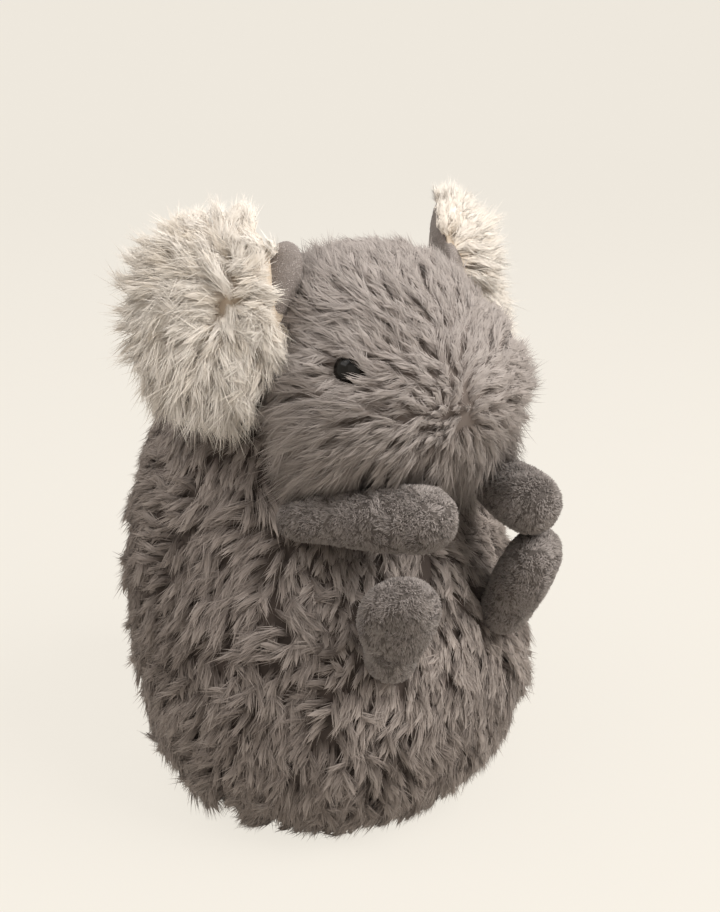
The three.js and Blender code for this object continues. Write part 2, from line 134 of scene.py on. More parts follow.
# %% Lamps and world
def soft_lamp(name, direction, distance, size, watts, colour):
    """A square lamp that stands in a direction from the toy and faces it."""
    place = LOOK_AT + direction.normalized() * distance
    bpy.ops.object.light_add(type="AREA", location=place)
    lamp = bpy.context.object
    lamp.name = name
    lamp.rotation_euler = direction.to_track_quat("Z", "Y").to_euler()
    lamp.data.size = size
    lamp.data.energy = watts
    lamp.data.color = colour


soft_lamp("window_lamp", RIGHTWARD * 0.85 + UPWARD * 0.75 + TOWARDS * 0.65, distance=0.85, size=0.55,
          watts=7.6, colour=(1.0, 0.985, 0.96))
soft_lamp("fill_lamp", -RIGHTWARD * 0.60 + UPWARD * 0.75 + TOWARDS * 0.60, distance=0.95, size=0.7,
          watts=3.3, colour=(1.0, 0.98, 0.96))
soft_lamp("room_lamp", TOWARDS + UPWARD * 0.1, distance=1.1, size=0.8, watts=0.7,
          colour=(1.0, 0.98, 0.95))
world = bpy.data.worlds.new("studio")
scene.world = world
world.use_nodes = True
sky = world.node_tree.nodes["Background"]
sky.inputs["Color"].default_value = (1.0, 0.975, 0.94, 1)
sky.inputs["Strength"].default_value = 0.60
scene.view_settings.view_transform = "Standard"

# %% [markdown]
# ## Finishes
# Every pile on the toy has the same build: a strand is dark and brownish near its root and pale at
# its tip, and no two strands have quite the same tone. The dark roots, and the skin under the pile that
# takes their colour, are partly the fibres' own colour and partly painted shade in the partings. A
# strand's UV map stores just that: U is its tone and V runs from root to tip. One node group turns the
# two into colour and roughness, and each fabric places the group with its own dyes.


# %% Node helpers
def add_node(tree, kind, **settings):
    """A new shader node in a tree, with its properties set."""
    node = tree.nodes.new("ShaderNode" + kind)
    for key, value in settings.items():
        setattr(node, key, value)
    return node


def preset(node, values):
    """Gives inputs of a node their values."""
    for socket, value in values.items():
        node.inputs[socket].default_value = value


def link(tree, *wires):
    """Lays wires in a tree, each as (node, output, node, input)."""
    for source, output, target, socket in wires:
        tree.links.new(source.outputs[output], target.inputs[socket])


# %% The pile group
pile = bpy.data.node_groups.new("Pile", "ShaderNodeTree")
for in_out, sockets in (
        ("INPUT", {"UV": "Vector", "Root": "Color", "Tip": "Color", "Depth": "Float",
                   "Contrast": "Float", "Warm": "Color"}),
        ("OUTPUT", {"Color": "Color", "Roughness": "Float"})):
    for name, kind in sockets.items():
        pile.interface.new_socket(name, in_out=in_out, socket_type="NodeSocket" + kind)
pile_in = pile.nodes.new("NodeGroupInput")
pile_out = pile.nodes.new("NodeGroupOutput")
split = add_node(pile, "SeparateXYZ")
low, high, tone, centred, gain = (
    add_node(pile, "Math", operation=operation)
    for operation in ("SUBTRACT", "ADD", "MULTIPLY_ADD", "SUBTRACT", "MULTIPLY_ADD"))
fade = add_node(pile, "MapRange", interpolation_type="SMOOTHSTEP")
warmth, rough = (add_node(pile, "MapRange") for _ in range(2))
dye = add_node(pile, "Mix", data_type="RGBA")
warmed = add_node(pile, "Mix", data_type="RGBA", blend_type="MULTIPLY")
toned = add_node(pile, "VectorMath", operation="SCALE")
streak = add_node(pile, "TexNoise", noise_dimensions="2D")
streak_map = add_node(pile, "Mapping")
for node, values in (
        (low, {1: 0.34}), (high, {1: 0.42}), (tone, {1: 0.35}), (centred, {1: 0.675}), (gain, {2: 1}),
        (streak_map, {"Scale": (60, 7, 1)}), (streak, {"Scale": 1, "Detail": 2}),
        (warmth, {"From Min": 0.75, "From Max": 0.15}), (rough, {"To Min": 0.72, "To Max": 0.52})):
    preset(node, values)
link(pile, (pile_in, "UV", split, 0), (pile_in, "UV", streak_map, 0), (streak_map, 0, streak, "Vector"),
     (pile_in, "Depth", low, 0), (pile_in, "Depth", high, 0), (split, "Y", fade, "Value"),
     (low, 0, fade, "From Min"), (high, 0, fade, "From Max"), (fade, "Result", dye, "Factor"),
     (pile_in, "Root", dye, "A"), (pile_in, "Tip", dye, "B"), (streak, "Fac", tone, 0),
     (split, "X", tone, 2), (tone, 0, centred, 0), (centred, 0, gain, 0), (pile_in, "Contrast", gain, 1),
     (dye, "Result", toned, 0), (gain, 0, toned, "Scale"), (tone, 0, warmth, "Value"),
     (warmth, "Result", warmed, "Factor"), (toned, 0, warmed, "A"), (pile_in, "Warm", warmed, "B"),
     (split, "X", rough, "Value"), (warmed, "Result", pile_out, "Color"),
     (rough, "Result", pile_out, "Roughness"))
print("pile group", len(pile.nodes), "nodes")


# %% One material per fabric, and a lighter copy of the grey fur for the head as painted light
def new_material(name):
    """A node material, its tree and its Principled shader."""
    material = bpy.data.materials.new(name)
    material.use_nodes = True
    return material, material.node_tree, material.node_tree.nodes["Principled BSDF"]


def pile_material(name, root, tip, depth, contrast, warm, sheen):
    """A fabric whose pile takes its dyes from the pile group."""
    material, tree, shader = new_material(name)
    uv = add_node(tree, "UVMap", uv_map="OFBake")
    group = add_node(tree, "Group", node_tree=pile)
    preset(group, {"Root": (*root, 1), "Tip": (*tip, 1), "Depth": depth, "Contrast": contrast,
                   "Warm": (*warm, 1)})
    preset(shader, {"Specular IOR Level": 0.25, "Sheen Weight": sheen, "Sheen Roughness": 0.5,
                    "Sheen Tint": (1.0, 0.95, 0.9, 1)})
    link(tree, (uv, 0, group, "UV"), (group, "Color", shader, "Base Color"),
         (group, "Roughness", shader, "Roughness"))
    return material


WARM_GREY = (0.94, 0.90, 0.87)
grey_fur = pile_material("grey_long_fur", root=(0.066, 0.049, 0.041), tip=(0.352, 0.302, 0.271),
                         depth=0.38, contrast=0.9, warm=WARM_GREY, sheen=0.10)
# The head's fur is the body's grey fabric in a lighter copy with less dark roots: painted light, for the
# top light on the head and its flatter, less shaded lie.
head_fur_painted_lit = pile_material("grey_fur_painted_lit_head", root=(0.22, 0.182, 0.161), tip=(0.44, 0.39, 0.362),
                         depth=0.26, contrast=0.5, warm=WARM_GREY, sheen=0.10)
cream_fur = pile_material("cream_long_fur", root=(0.80, 0.67, 0.53), tip=(0.91, 0.842, 0.762),
                          depth=0.14, contrast=0.2, warm=(0.97, 0.92, 0.85), sheen=0.12)
grey_nap = pile_material("grey_short_pile", root=(0.13, 0.111, 0.100), tip=(0.36, 0.318, 0.296),
                         depth=0.40, contrast=1.3, warm=WARM_GREY, sheen=0.15)
print("fabrics", grey_fur.name, head_fur_painted_lit.name, cream_fur.name, grey_nap.name)


# %% Paper and plastic
def speckled(name, colour, other, scale, roughness, bump):
    """A material with a fine fleck of a second colour and a matching relief."""
    material, tree, shader = new_material(name)
    place = add_node(tree, "TexCoord")
    noise = add_node(tree, "TexNoise")
    mix = add_node(tree, "Mix", data_type="RGBA")
    rough = add_node(tree, "MapRange")
    relief = add_node(tree, "Bump")
    preset(noise, {"Scale": scale, "Detail": 5})
    preset(mix, {"A": (*colour, 1), "B": (*other, 1)})
    preset(rough, {"To Min": roughness[0], "To Max": roughness[1]})
    preset(relief, {"Strength": 0.3, "Distance": bump})
    link(tree, (place, "Object", noise, "Vector"), (noise, "Fac", mix, "Factor"),
         (noise, "Fac", rough, "Value"), (noise, "Fac", relief, "Height"),
         (mix, "Result", shader, "Base Color"), (rough, "Result", shader, "Roughness"),
         (relief, "Normal", shader, "Normal"))
    return material, shader


paper_finish, paper_shader = speckled("pale_paper", (0.50, 0.47, 0.43), (0.52, 0.49, 0.45), scale=40,
                                      roughness=(0.85, 0.95), bump=0.2 * MM)
paper.data.materials.append(paper_finish)
paper_tree = paper_finish.node_tree
rays = add_node(paper_tree, "LightPath")
seen, seen_too = (add_node(paper_tree, "Math", operation="ADD", use_clamp=True) for _ in range(2))
share = add_node(paper_tree, "Math", operation="MULTIPLY")
glow = add_node(paper_tree, "Emission")
both = add_node(paper_tree, "MixShader")
preset(share, {1: 0.80})
preset(glow, {"Color": (1.0, 0.945, 0.85, 1)})
link(paper_tree, (rays, "Is Camera Ray", seen, 0), (rays, "Is Glossy Ray", seen, 1), (seen, 0, seen_too, 0),
     (rays, "Is Transmission Ray", seen_too, 1), (seen_too, 0, share, 0), (share, 0, both, 0),
     (paper_shader, 0, both, 1), (glow, 0, both, 2),
     (both, 0, paper_tree.nodes["Material Output"], "Surface"))
black_plastic, eye_shader = speckled("black_eye_plastic", (0.004, 0.0035, 0.003), (0.010, 0.007, 0.005),
                                     scale=900, roughness=(0.05, 0.11), bump=0.02 * MM)
preset(eye_shader, {"Specular IOR Level": 0.22})
white_plastic, _ = speckled("white_washer_plastic", (0.72, 0.70, 0.66), (0.80, 0.78, 0.74),
                            scale=700, roughness=(0.35, 0.5), bump=0.05 * MM)
print("plain finishes", len(bpy.data.materials))


# %% [markdown]
# ## Soft forms
# A stuffed toy has no sharp edge anywhere: the cover is one soft skin over the filling. Modelling
# each form again from primitives could drift from the CAD, so the CAD solids of a form are copied,
# merged, fused by a voxel remesh and relaxed. The fur then grows on that skin.


# %% Form helpers
MERGE_WITHIN = 0.02 * MM


def alone(piece):
    """Selects one object and nothing else."""
    bpy.ops.object.select_all(action="DESELECT")
    piece.select_set(True)
    bpy.context.view_layer.objects.active = piece


def placed(name, mesh):
    """A new object in the scene with a mesh."""
    piece = bpy.data.objects.new(name, mesh)
    scene.collection.objects.link(piece)
    return piece


def join(pieces):
    """Joins objects into the first of them."""
    alone(pieces[0])
    for piece in pieces[1:]:
        piece.select_set(True)
    if len(pieces) > 1:
        bpy.ops.object.join()


def soft_form(name, nodes, voxel, relax, extra=()):
    """CAD nodes, and extra objects, fused into one relaxed skin."""
    copies = [placed(name, frame["nodes"][node].data.copy()) for node in nodes]
    for twin in copies:
        twin.data.materials.clear()
    piece = copies[0]
    join(copies)
    mode("EDIT")
    bpy.ops.mesh.select_all(action="SELECT")
    bpy.ops.mesh.remove_doubles(threshold=MERGE_WITHIN)
    mode("OBJECT")
    join([piece, *extra])
    piece.data.remesh_voxel_size = voxel
    bpy.ops.object.voxel_remesh()
    soften = piece.modifiers.new("relax", "SMOOTH")
    soften.factor = 0.5
    soften.iterations = relax
    bpy.ops.object.modifier_apply(modifier="relax")
    bpy.ops.object.shade_smooth()
    return piece


BODY_NODES = ["back_panel_right", "back_panel_left", "belly_panel", "base_panel", "body_filling",
              "pellet_bag"]
HEAD_NODES = ["face_panel_right", "face_panel_left", "head_gusset", "chin_panel", "head_filling"]
body_pad = soft_form("body_pad", BODY_NODES, voxel=2.0 * MM, relax=6)
head_pad = soft_form("head_pad", HEAD_NODES, voxel=1.4 * MM, relax=6)
print("forms", [(o.name, len(o.data.polygons)) for o in (body_pad, head_pad)])


# %% [markdown]
# ## Growing fur
# Hair particles would not survive an export, and cards look flat from the side. On worn plush the
# fibres stick together in soft locks two millimetres wide, with dark partings between them. So each
# lock is a bundle of thin spikes round a plump core, which bend together from where they leave the
# cloth to how they lie. Each spike starts at its own place on the lock, with its open root among the
# others. Most of a spike's shading normal comes from the whole lock, so that it takes the light as one
# soft thing and not as a row of wires.


# %% Vector helpers
def unit(v):
    """Vectors at length one."""
    return v / np.maximum(norm(v, axis=-1, keepdims=True), 1e-12)


def lying(v, normals):
    """The part of a vector that lies in the skin."""
    return v - normals * np.sum(v * normals, axis=-1, keepdims=True)


def ease(x, start, end):
    """0 before start, 1 after end, smooth between."""
    t = np.clip((x - start) / (end - start), 0, 1)
    return t * t * (3 - 2 * t)


def turned(flow, normals, angle):
    """A direction in the skin turned about the normal."""
    angle = np.asarray(angle)[..., None]
    return flow * np.cos(angle) + np.cross(normals, flow) * np.sin(angle)


def waves(points, size, seed):
    """A smooth random field from about -1 to 1 with bumps of a given size."""
    rng = np.random.default_rng(seed)
    terms = 8
    pitch = rng.normal(size=(terms, 3)) * (2.4 / size)
    phase = rng.uniform(0, 2 * math.pi, terms)
    return np.sin(points @ pitch.T + phase).sum(axis=1) / 2.6


# %% Points on a skin
def rows(items, key, kind=float):
    """A property of a mesh's items as rows of three."""
    values = np.empty(len(items) * 3, dtype=kind)
    items.foreach_get(key, values)
    return values.reshape(-1, 3)


def skin_arrays(form):
    """Vertices, normals and triangles of a form as arrays."""
    mesh = form.data
    mesh.calc_loop_triangles()
    return (rows(mesh.vertices, "co"), rows(mesh.vertices, "normal"),
            rows(mesh.loop_triangles, "vertices", np.int32))


def doubled_areas(places, triangles):
    """Twice the area of each triangle."""
    a, b, c = (places[triangles[:, i]] for i in range(3))
    return norm(np.cross(b - a, c - a), axis=1)


def scatter(form, count, rng):
    """Random points over a form, even by area, with their normals."""
    places, normals, triangles = skin_arrays(form)
    area = doubled_areas(places, triangles)
    pick = triangles[rng.choice(len(triangles), count, p=area / area.sum())]
    r, s = np.sqrt(rng.random(count)), rng.random(count)
    weights = np.stack([1 - r, r * (1 - s), r * s], axis=1)[..., None]
    return (places[pick] * weights).sum(axis=1), unit((normals[pick] * weights).sum(axis=1))


def spaced(points, gap):
    """Indices of points that keep a gap to each other."""
    cells, kept = {}, []
    keys = np.floor(points / gap).astype(int).tolist()
    near = [(i, j, k) for i in (-1, 0, 1) for j in (-1, 0, 1) for k in (-1, 0, 1)]
    for index, (p, (x, y, z)) in enumerate(zip(points.tolist(), keys)):
        beside = (q for i, j, k in near for q in cells.get((x + i, y + j, z + k), ()))
        if all((p[0] - q[0]) ** 2 + (p[1] - q[1]) ** 2 + (p[2] - q[2]) ** 2 >= gap * gap for q in beside):
            cells.setdefault((x, y, z), []).append(p)
            kept.append(index)
    return np.array(kept)


def gaps(points, others, step=500):
    """Slices of points, each with its distances to the others."""
    for first in range(0, len(points), step):
        some = slice(first, first + step)
        yield some, norm(points[some, None] - others[None], axis=2)


def planted(form, count, rng, gap):
    """Random points over a form that keep a gap to each other, with their normals."""
    points, normals = scatter(form, count, rng)
    keep = spaced(points, gap)
    return points[keep], normals[keep]


# %% Locks
DOWN = np.array([0.0, 0.0, -1.0])
SINK = 0.8 * MM
FLOOR_GAP = 0.5 * MM
CRIMP_TURN = 6.5
FLATNESS = 0.75
CORE_SHARE = 0.84
CORE_RINGS = np.array([0.0, 0.40, 0.78, 1.0])
CORE_GIRTHS = np.array([0.8, 1.0, 0.75, 0.0])
TONES = 0.06, 0.94
UV_ROOT, UV_SPAN = 0.06, 0.9


class Locks:
    """Many locks: the middle line of each from its root to its tip, and the strands round it."""

    def __init__(self, rng, roots, normals, flow, length, lift, lay, droop, crimp=0.0, sink=SINK):
        lift, lay, droop = (np.broadcast_to(v, len(roots))[:, None] for v in (lift, lay, droop))
        self.rng, self.length, self.crimp = rng, length, crimp
        self.shade = normals
        self.base = roots - normals * sink
        self.start = unit(flow * np.cos(lift) + normals * np.sin(lift))
        self.end = unit(flow * np.cos(lay) + normals * np.sin(lay) + DOWN * droop)
        self.side = unit(np.cross(normals, self.start))
        self.rise = np.cross(self.start, self.side)
        self.swing = rng.uniform(0, 2 * math.pi, len(roots))[:, None]

    def line(self, along):
        """Points along each lock from its base, at shares of its length, as (lock, share, xyz)."""
        t = along[..., None]
        bend = self.start[:, None] * t + (self.end - self.start)[:, None] * t * t / 2
        sway = (np.sin(self.swing + along * CRIMP_TURN) - np.sin(self.swing))[..., None]
        return self.length[:, None, None] * bend + self.crimp * sway * self.side[:, None]

    def strands(self, count, radius, tip, fray, span, round_by=0.8):
        """Both ends of short strands that lie along each lock, where each starts and ends on it,
        and the way that the lock's surface faces there."""
        locks = len(self.base)
        begin = self.rng.uniform(0, 1 - span, (locks, count))
        around = self.rng.uniform(0, 2 * math.pi, (locks, count))
        out = np.sqrt(self.rng.random((locks, count)))
        ring_of = (np.cos(around)[..., None] * self.side[:, None]
                   + FLATNESS * np.sin(around)[..., None] * self.rise[:, None])
        offset = np.broadcast_to(radius, locks)[:, None, None] * out[..., None] * ring_of
        stretch = (1.06 - 0.16 * out ** 2) * self.rng.uniform(0.90, 1.05, (locks, count))
        stray = self.length[:, None, None] * self.rng.normal(0, fray, (locks, count, 3))
        path = np.empty((locks, count, 2, 3))
        for end, along in enumerate((begin, begin + span)):
            girth = np.interp(along, [0, 0.45, 1], [0.8, 1.0, tip])[..., None]
            path[:, :, end] = (self.base[:, None] + offset * girth
                               + stretch[..., None] * self.line(along) + stray * end * along[..., None])
        path[..., 2] = np.maximum(path[..., 2], FLOOR_GAP)
        facing = unit(round_by * out[..., None] * ring_of + 0.7 * self.shade[:, None])
        reach = np.stack([begin, begin + span], axis=-1)
        return path.reshape(-1, 2, 3), reach.reshape(-1, 2), facing.reshape(-1, 3)


def gathered(rng, roots, normals, flow, size, stir, pull):
    """Flow that gathers neighbouring locks into tufts of a given size."""
    heads = roots[spaced(roots, size)]
    nearest = np.empty(len(roots), dtype=int)
    for some, gap in gaps(roots, heads):
        nearest[some] = np.argmin(gap, axis=1)
    flow = turned(flow, normals, rng.normal(0, stir, len(heads))[nearest])
    meet = lying(heads[nearest] + flow * size - roots, normals) / size
    return unit(flow + pull * meet), nearest


# %% Locks to a mesh
def spike_faces(rings, sides):
    """Loops and sizes of the faces of one spike of a number of rings and sides, with a tip."""
    faces = [(r * sides + k, r * sides + (k + 1) % sides,
              (r + 1) * sides + (k + 1) % sides, (r + 1) * sides + k)
             for r in range(rings - 1) for k in range(sides)]
    last = (rings - 1) * sides
    faces += [(last + k, last + (k + 1) % sides, last + sides) for k in range(sides)]
    return np.array([i for face in faces for i in face]), np.array([len(face) for face in faces])


def spikes(rng, path, along, girth, sides, tones, facing, own):
    """Spikes along paths, as vertices, loops, face sizes, UVs and shading normals."""
    count, ring_count = len(path), path.shape[1] - 1
    ahead = unit(np.gradient(path, axis=1))[:, :-1]
    across = unit(np.cross(ahead, unit(rng.normal(size=(count, 1, 3)))))
    over = np.cross(ahead, across)
    angle = np.arange(sides) * 2 * math.pi / sides
    outward = (np.cos(angle)[:, None] * across[:, :, None] + np.sin(angle)[:, None] * over[:, :, None])
    points = path[:, :-1, None] + (girth[..., :-1, None, None] / 2) * outward
    points = np.concatenate([points.reshape(count, -1, 3), path[:, -1:]], axis=1)
    away = np.maximum(0, -(outward * facing[:, None, None]).sum(axis=-1, keepdims=True))
    shade = unit((own + 1.2 * away) * outward + facing[:, None, None]).reshape(count, -1, 3)
    shade = np.concatenate([shade, facing[:, None]], axis=1)
    loops, sizes = spike_faces(ring_count, sides)
    per_spike = points.shape[1]
    uv = np.empty((count, per_spike, 2))
    uv[..., 0] = tones[:, None] + np.append(np.tile(np.linspace(-0.004, 0.004, sides), ring_count), 0)
    along = np.broadcast_to(along, (count, ring_count + 1))
    along = np.concatenate([np.repeat(along[:, :-1], sides, axis=1), along[:, -1:]], axis=1)
    uv[..., 1] = along * UV_SPAN + UV_ROOT
    first = (np.arange(count) * per_spike)[:, None]
    return (points.reshape(-1, 3), (first + loops).ravel(), np.tile(sizes, count),
            uv[:, loops].reshape(-1, 2), shade.reshape(-1, 3))


def fur_parts(locks, tone, radius, count, width, tip, fray, span=0.5, own=0.45, round_by=0.8):
    """The core and the strands of locks."""
    rng, tone = locks.rng, np.clip(tone, 0.1, 0.9)
    radius = np.broadcast_to(radius, len(tone))
    path, reach, facing = locks.strands(count, radius, tip, fray, span, round_by)
    tones = np.clip(np.repeat(tone, count) + rng.normal(0, 0.05, len(path)), *TONES)
    core = locks.base[:, None] + CORE_SHARE * locks.line(np.tile(CORE_RINGS, (len(tone), 1)))
    core[..., 2] = np.maximum(core[..., 2], radius[:, None] * 0.7)
    core_girth = radius[:, None] * 1.15 * CORE_GIRTHS
    return [spikes(rng, core, CORE_RINGS * CORE_SHARE, core_girth, sides=5, tones=tone - 0.06,
                   facing=locks.shade, own=0.7),
            spikes(rng, path, reach, np.array([width, 0.0]), sides=3, tones=tones, facing=facing, own=own)]


def nap_parts(locks, fray, width, tone, spread, own, lean=0.0):
    """Locks that are single spikes, each shaded a little towards its lean."""
    path, reach, facing = locks.strands(count=1, radius=0.0, tip=1.0, fray=fray, span=1.0)
    tones = np.clip(tone + locks.rng.normal(0, spread, len(path)), *TONES)
    return spikes(locks.rng, path, reach, np.array([width, 0.0]), sides=3, tones=tones,
                  facing=unit(facing + lean), own=own)


def skin_parts(form, level=0.01):
    """A form's triangles as spikes gives them, its UVs at the dark roots (painted shade) or a higher level.
    """
    places, normals, triangles = skin_arrays(form)
    corner = np.array([[0.300, level], [0.308, level], [0.304, level + 0.008]])
    return (places, triangles.ravel(), np.full(len(triangles), 3),
            np.tile(corner, (len(triangles), 1)), normals)


def mesh_piece(name, parts, material):
    """One object from several sets of arrays."""
    starts = np.cumsum([0] + [len(part[0]) for part in parts])
    points, loops, sizes, uvs, shade = (np.concatenate(column) for column in zip(*(
        (part[0], part[1] + start, part[2], part[3], part[4]) for part, start in zip(parts, starts))))
    mesh = bpy.data.meshes.new(name)
    mesh.vertices.add(len(points))
    mesh.vertices.foreach_set("co", points.astype(np.float32).ravel())
    mesh.loops.add(len(loops))
    mesh.loops.foreach_set("vertex_index", loops.astype(np.int32))
    mesh.polygons.add(len(sizes))
    mesh.polygons.foreach_set("loop_start", (np.cumsum(sizes) - sizes).astype(np.int32))
    mesh.polygons.foreach_set("use_smooth", np.ones(len(sizes), dtype=bool))
    mesh.update(calc_edges=True)
    layer = mesh.uv_layers.new(name="OFBake")
    layer.data.foreach_set("uv", uvs.astype(np.float32).ravel())
    mesh.normals_split_custom_set_from_vertices(shade.astype(np.float32))
    mesh.materials.append(material)
    return placed(name, mesh)


def belongs(piece, body, nodes=()):
    """Makes a finished piece ride on a body, hides the CAD parts that it stands for and prints its
    triangles.
    """
    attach(piece, body)
    if nodes:
        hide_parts(*nodes)
    triangles = sum(len(p.vertices) - 2 for p in piece.data.polygons)
    print(piece.name, "on", body, triangles, "triangles")


def patches(body, cut, material, rng, coat, crimp, plan):
    """Pieces of a body's coat, from a plan of (name, mask, CAD nodes). A coat has the root, normal, flow,
    length, lift, lay, droop, tone and radius of every lock."""
    for name, mask, nodes in plan:
        *shape, tone, radius = (values[mask] for values in coat)
        parts = fur_parts(Locks(rng, *shape, crimp=crimp), tone, radius, **cut)
        belongs(mesh_piece(name, parts, material), body, nodes)


def covered(name, form, parts, material, body, nodes, level=0.01):
    """A finished piece of a form's skin and the parts on it. The form was only a mould and goes."""
    belongs(mesh_piece(name, [skin_parts(form, level), *parts], material), body, nodes)
    mesh = form.data
    bpy.data.objects.remove(form)
    bpy.data.meshes.remove(mesh)


# %% [markdown]
# ## Body fur
# The body's fur is the longest. On the flanks it is brushed back and down, lower down it hangs, on
# the belly it hangs straight and is shorter, beside the belly seam it is crushed, and over the roots
# of the arms it reaches out along them. The brushed direction is built from the skin's own down and
# back directions, then stirred by slow waves.

# %% Where the body's locks stand
JOINT_AT = {j["name"]: np.array(j["pos_m"]) for j in frame["joints"]}
HEAD_AT = JOINT_AT["neck_turn"]
HEAD_HALF = np.array([29, 29, 26.5]) * MM
BELLY_HALF = 29
UNDERSIDE = 2.5 * MM
LIMB_ROOTS = {"arm_right_swing": 5.5 * MM, "arm_left_swing": 5.5 * MM, "foot_right_flap": 6.5 * MM,
              "foot_left_flap": 6.5 * MM, "tail_wag": 5.5 * MM}
fur_rng = np.random.default_rng(11)


def off_head(points, clearance):
    """True where a point is outside the head by a clearance."""
    local = (points - HEAD_AT) / (HEAD_HALF + clearance)
    return norm(local, axis=1) > 1


def off_limbs(points, clearances):
    """True where a point is clear of the limbs' roots."""
    clear = np.ones(len(points), dtype=bool)
    for joint, radius in clearances.items():
        clear &= norm(points - JOINT_AT[joint], axis=1) > radius
    return clear


def levelled(points, normals, reach):
    """Normals averaged over the points within a reach, so that fur lies over small bumps."""
    level = np.empty_like(normals)
    for some, gap in gaps(points, points):
        level[some] = (gap < reach).astype(float) @ normals
    return unit(level)


spots, spot_normals = planted(body_pad, count=60000, rng=fur_rng, gap=1.85 * MM)
keep = (off_head(spots, 1.2 * MM) & (spots[:, 2] > UNDERSIDE) & (spot_normals[:, 2] > -0.9)
        & off_limbs(spots, LIMB_ROOTS))
spots, spot_normals = spots[keep], levelled(spots[keep], spot_normals[keep], reach=6 * MM)
print("body locks", len(spots))

# %% How the body's locks lie
x, y, z = spots.T / MM
on_belly = (np.abs(x) < BELLY_HALF) & (y < 0)
near_seam = np.exp(-((np.abs(x) - BELLY_HALF) / 5) ** 2) * (y < 0)
hollow = on_belly * ease(z, 40, 58)
down_skin = lying(DOWN, spot_normals)
back_skin = lying(np.array([0.0, 1.0, 0.0]), spot_normals)
out_skin = lying(np.array([1.0, 0, 0]), spot_normals) * np.sign(x)[:, None]
backward = (0.05 + 0.5 * ease(z, 55, 95)) * np.where(on_belly, 0.1, 1)
outward = np.where(on_belly, 0.3, 0.1)
body_flow = unit(down_skin + back_skin * backward[:, None] + out_skin * outward[:, None]
                 + lying(np.array([0, 0.02, 0]), spot_normals))
yaw = 0.40 * waves(spots, 26 * MM, 3) + 0.25 * waves(spots, 10 * MM, 4)
body_flow = turned(body_flow, spot_normals, yaw)
body_flow, tuft_of = gathered(fur_rng, spots, spot_normals, body_flow,
                              size=6.5 * MM, stir=0.45, pull=0.65)
body_flow = turned(body_flow, spot_normals, fur_rng.normal(0, 0.34, len(spots))
                   + fur_rng.normal(0, 0.6, len(spots)) * near_seam)
tuft_rise = fur_rng.normal(0, 1, tuft_of.max() + 1)[tuft_of]
at_neck = ~off_head(spots, 8 * MM)
thigh = np.exp(-((np.abs(x) - 32) / 12) ** 2 - ((z - 28) / 14) ** 2) * (y < 0)
on_back = ease(y, 5, 30)
body_length = (12.0 - 1.5 * ease(y, 10, 35) - 1.0 * ease(z, 85, 120) - 1.0 * on_belly - 2.0 * hollow
               - 2.0 * near_seam + 2.0 * at_neck + 1.5 * thigh + 0.7 * tuft_rise
               + fur_rng.normal(0, 1.1, len(spots))) * MM
body_lift = (0.55 - 0.2 * on_back + 0.12 * tuft_rise * (1 - 0.7 * on_back) + 0.35 * at_neck
             + 0.1 * thigh + fur_rng.normal(0, 0.08, len(spots)))
body_lay = np.full(len(spots), 0.05)
body_droop = np.full(len(spots), 0.45)
SLEEVE_REACH, SLEEVE_PILE = 17, 6.0 * MM
ARM_WAYS = {"right": np.array([0.495, -0.858, 0.139]), "left": np.array([-0.342, -0.939, 0.035])}
for side, arm_way in ARM_WAYS.items():
    shoulder = JOINT_AT["arm_" + side + "_swing"]
    gap = norm(spots - shoulder, axis=1) / MM
    above = z - shoulder[2] / MM
    sleeve = ease(SLEEVE_REACH - gap, 0, 6) * ease(above, 0, 5)
    along_arm = unit(lying(arm_way, spot_normals) + down_skin)
    body_flow = unit(body_flow * (1 - sleeve)[:, None] + along_arm * sleeve[:, None])
    body_length = body_length + SLEEVE_PILE * sleeve
    body_lift += sleeve * (1.0 - body_lift)
    body_lay += sleeve * (0.35 - body_lay)
    body_droop += 0.5 * sleeve
# Tone rises high on the body beside the head and on the belly above the feet: painted light, against the
# head's shadow on the shoulders and the shade in the belly's hollow. The waves, the tufts and the rest vary
# at random.
body_tone = (0.5 + 0.2 * ease(z, 80, 105) + 0.12 * on_belly * ease(z, 25, 45)
             + 0.06 * waves(spots, 22 * MM, 6) + 0.05 * tuft_rise + fur_rng.normal(0, 0.13, len(spots)))
body_radius = (1.25 + fur_rng.normal(0, 0.2, len(spots))).clip(0.6, 1.7) * MM
print("fur length mm", body_length.min() / MM, body_length.max() / MM)


# %% Grow it panel by panel
BODY_FILL, LOW_PART = 0.8, 58 * MM
BODY_CUT = dict(count=40, width=0.32 * MM, tip=1.0, fray=0.07, span=0.44, own=0.4, round_by=0.5)
right, low_part = spots[:, 0] < 0, spots[:, 2] < LOW_PART
patches("torso", BODY_CUT, grey_fur, fur_rng,
        (spots, spot_normals, body_flow, body_length, body_lift, body_lay, body_droop, body_tone,
         body_radius), crimp=0.5 * MM, plan=(
            ("back_fur_right", ~on_belly & right & ~low_part, ["back_panel_right"]),
            ("back_fur_right_low", ~on_belly & right & low_part, []),
            ("back_fur_left", ~on_belly & ~right & ~low_part, ["back_panel_left"]),
            ("back_fur_left_low", ~on_belly & ~right & low_part, []),
            ("belly_fur", on_belly, ["belly_panel"])))

